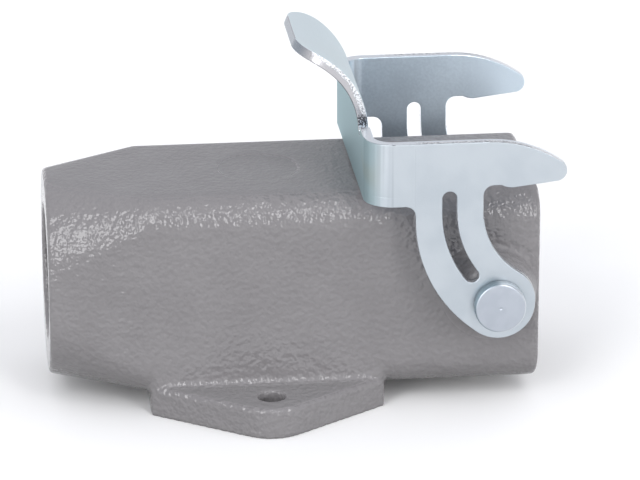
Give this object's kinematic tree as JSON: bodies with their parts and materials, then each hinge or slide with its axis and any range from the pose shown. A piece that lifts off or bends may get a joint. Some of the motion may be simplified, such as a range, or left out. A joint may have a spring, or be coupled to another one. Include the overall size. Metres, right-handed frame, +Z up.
{
  "type": "heavy-duty connector housing",
  "caption": "Painted die-cast connector housing with pointed fixing ears, a threaded cable entry and a pivoting zinc-plated locking lever with a thumb tab.",
  "frame": {"origin": "midway between the two fixing holes, on the mounting plane", "axes": "+X towards the mating end, +Y from the pictured side to the other side, +Z up from the mounting plane"},
  "size_m": [0.0747, 0.0508, 0.0547],
  "materials": {
    "painted_casting": "semi-gloss grey powder coat with an orange-peel texture",
    "zinc_plated_sheet": "bright zinc plate, faintly blue",
    "rivet_steel": "smooth zinc plate",
    "seal_rubber": "matt black"
  },
  "bodies": {
    "housing": {"housing_body": "painted_casting", "front_pivot_rivet": "rivet_steel", "rear_pivot_rivet": "rivet_steel", "mating_seal": "seal_rubber"},
    "lever": {"locking_lever": "zinc_plated_sheet"}
  },
  "joints": [
    {"name": "lever_pivot", "type": "hinge", "parent": "housing", "child": "lever", "pos_m": [0.0332, 0, 0.018], "axis": [0, 1, 0], "range_deg": [0, 93]}
  ]
}
